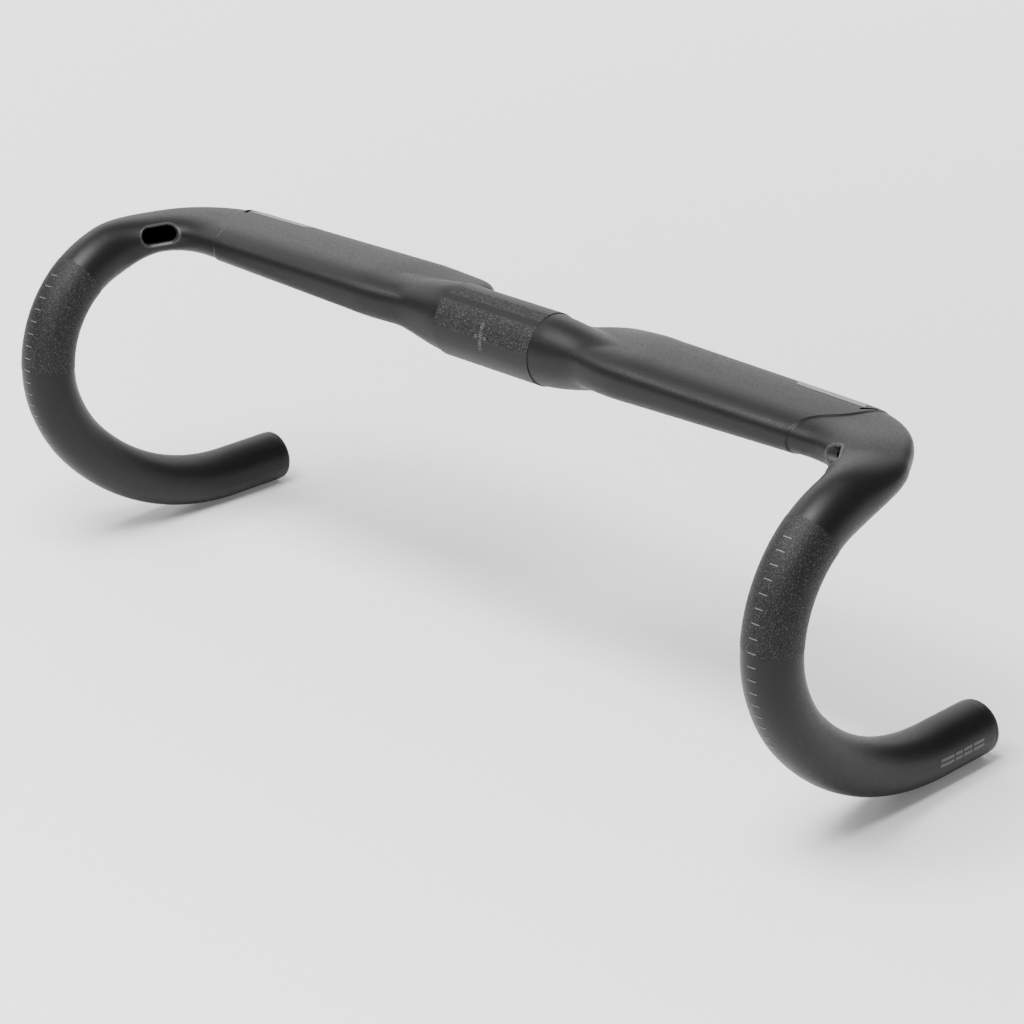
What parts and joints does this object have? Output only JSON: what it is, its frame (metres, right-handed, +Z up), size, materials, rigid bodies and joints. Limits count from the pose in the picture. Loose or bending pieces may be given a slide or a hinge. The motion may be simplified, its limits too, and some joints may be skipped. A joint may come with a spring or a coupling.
{
  "type": "drop handlebar",
  "caption": "Carbon drop handlebar with flat aero tops, hidden cable ports, gritty clamp bands and expanding end plugs.",
  "frame": {"origin": "centre of the stem clamp, on its axis", "axes": "+X along the stem clamp's axis to the rider's left, the bar faces -Y, +Z up"},
  "size_m": [0.4462, 0.1473, 0.1574],
  "materials": {
    "carbon": "satin moulded carbon fibre",
    "grit": "fine grit for grip",
    "print_grey": "pale grey print",
    "dark_plastic": "moulded black plastic",
    "rubber": "black rubber",
    "wedge_alloy": "turned",
    "screw_steel": "black oxide"
  },
  "bodies": {
    "bar": {"wing_section": "carbon", "clamp_grip_band": "grit", "centre_mark": "print_grey", "left_drop": "carbon", "left_joint_sleeve": "carbon", "left_lever_grip_band": "grit", "left_entry_grommet": "dark_plastic", "left_exit_grommet": "dark_plastic", "left_edge_decal": "print_grey", "left_scale_marks": "print_grey", "left_end_print": "print_grey", "right_drop": "carbon", "right_joint_sleeve": "carbon", "right_lever_grip_band": "grit", "right_entry_grommet": "dark_plastic", "right_exit_grommet": "dark_plastic", "right_edge_decal": "print_grey", "right_scale_marks": "print_grey", "right_end_print": "print_grey"},
    "left_plug": {"left_plug_cap": "dark_plastic", "left_plug_expander": "rubber"},
    "left_plug_bolt": {"left_plug_screw": "screw_steel"},
    "left_plug_cone": {"left_plug_wedge": "wedge_alloy"},
    "right_plug": {"right_plug_cap": "dark_plastic", "right_plug_expander": "rubber"},
    "right_plug_bolt": {"right_plug_screw": "screw_steel"},
    "right_plug_cone": {"right_plug_wedge": "wedge_alloy"}
  },
  "joints": [
    {"name": "left_plug_pull", "type": "slide", "parent": "bar", "child": "left_plug", "axis": [0, 1, 0], "range_m": [0, 0.024]},
    {"name": "left_screw_turn", "type": "hinge", "parent": "left_plug", "child": "left_plug_bolt", "pos_m": [0.211, 0.05646, -0.12954], "axis": [0, 1, 0], "range_deg": [0, 1800]},
    {"name": "left_wedge_slide", "type": "slide", "parent": "left_plug", "child": "left_plug_cone", "axis": [0, -1, 0], "range_m": [0, 0.0035]},
    {"name": "right_plug_pull", "type": "slide", "parent": "bar", "child": "right_plug", "axis": [0, 1, 0], "range_m": [0, 0.024]},
    {"name": "right_screw_turn", "type": "hinge", "parent": "right_plug", "child": "right_plug_bolt", "pos_m": [-0.211, 0.05646, -0.12954], "axis": [0, 1, 0], "range_deg": [0, 1800]},
    {"name": "right_wedge_slide", "type": "slide", "parent": "right_plug", "child": "right_plug_cone", "axis": [0, -1, 0], "range_m": [0, 0.0035]}
  ],
  "couplings": [
    {"joint": "left_screw_turn", "follows": "left_wedge_slide", "rad_per_m": 8976},
    {"joint": "right_screw_turn", "follows": "right_wedge_slide", "rad_per_m": 8976}
  ]
}
